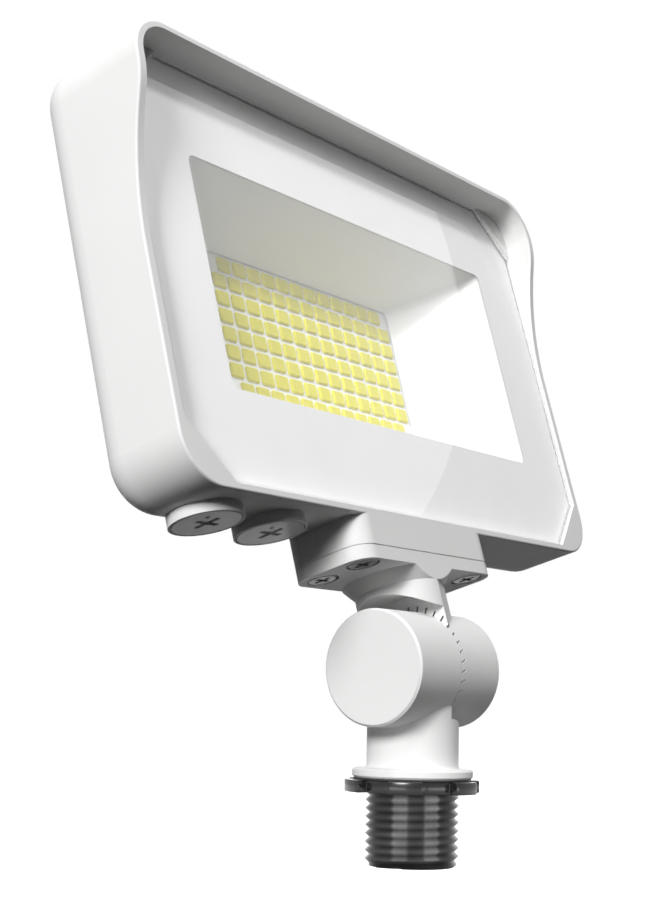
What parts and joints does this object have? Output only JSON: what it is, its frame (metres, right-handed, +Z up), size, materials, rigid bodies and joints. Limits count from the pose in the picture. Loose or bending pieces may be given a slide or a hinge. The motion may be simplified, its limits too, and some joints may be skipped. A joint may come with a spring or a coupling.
{
  "type": "led flood light",
  "caption": "White LED flood light with a visor over its glass, selector dials underneath, and a tilting knuckle on a threaded conduit nipple with a locknut.",
  "frame": {"origin": "on the nipple's axis, at the top of its thread", "axes": "+Z up along the nipple's axis, the light faces -Y, +X is to the right of a viewer in front and runs along the knuckle's axis"},
  "size_m": [0.1614, 0.0638, 0.1762],
  "materials": {
    "white_coat": "satin",
    "black_coat": "gloss",
    "steel": "satin",
    "white_steel": "satin",
    "green_steel": "satin",
    "black_rubber": "matte",
    "white_rubber": "matte",
    "clear_glass": "gloss",
    "white_plastic": "satin",
    "heat_pad": "matte",
    "white_board": "satin",
    "phosphor": "satin",
    "green_board": "satin",
    "coil_tape": "satin",
    "black_plastic": "satin",
    "lead_cover": "satin"
  },
  "bodies": {
    "base": {"knuckle_base": "white_coat", "threaded_nipple": "black_coat", "pivot_bolt": "steel", "pivot_washer": "steel", "knuckle_o_ring": "black_rubber"},
    "head": {"mounting_arm": "white_coat", "arm_gasket": "white_rubber", "arm_screws": "white_steel", "housing": "white_coat", "lens_glass": "clear_glass", "lens_gasket": "white_rubber", "reflector": "white_plastic", "reflector_screws": "steel", "thermal_pad": "heat_pad", "led_board": "white_board", "led_chips": "phosphor", "board_screws": "steel", "driver_board": "green_board", "driver_transformer": "coil_tape", "terminal_block": "black_plastic", "driver_capacitors": "black_plastic", "driver_chips": "black_plastic", "driver_screws": "steel", "selector_switches": "black_plastic", "led_leads": "lead_cover", "dial_o_rings": "black_rubber", "earth_screw": "green_steel"},
    "power_dial": {"power_dial": "white_plastic", "power_dial_clip": "steel"},
    "colour_dial": {"colour_dial": "white_plastic", "colour_dial_clip": "steel"},
    "locknut_seal": {"locknut_seal": "black_rubber"},
    "locknut": {"locknut": "black_coat"}
  },
  "joints": [
    {"name": "head_tilt", "type": "hinge", "parent": "base", "child": "head", "pos_m": [0, 0, 0.02755], "axis": [1, 0, 0], "range_deg": [-65, 85]},
    {"name": "power_dial_turn", "type": "hinge", "parent": "head", "child": "power_dial", "pos_m": [-0.0627, 0.00845, 0.05467], "axis": [0, 0.274, 0.9617], "range_deg": [-45, 45]},
    {"name": "colour_dial_turn", "type": "hinge", "parent": "head", "child": "colour_dial", "pos_m": [-0.0422, 0.00845, 0.05467], "axis": [0, 0.274, 0.9617], "range_deg": [-60, 60]},
    {"name": "locknut_travel", "type": "slide", "parent": "base", "child": "locknut_seal", "axis": [0, 0, -1], "range_m": [0, 0.01452]},
    {"name": "locknut_turn", "type": "hinge", "parent": "locknut_seal", "child": "locknut", "pos_m": [0, 0, 0], "axis": [0, 0, -1], "range_deg": [0, 2880]}
  ],
  "couplings": [
    {"joint": "locknut_travel", "follows": "locknut_turn", "m_per_rad": 0.00028871}
  ]
}
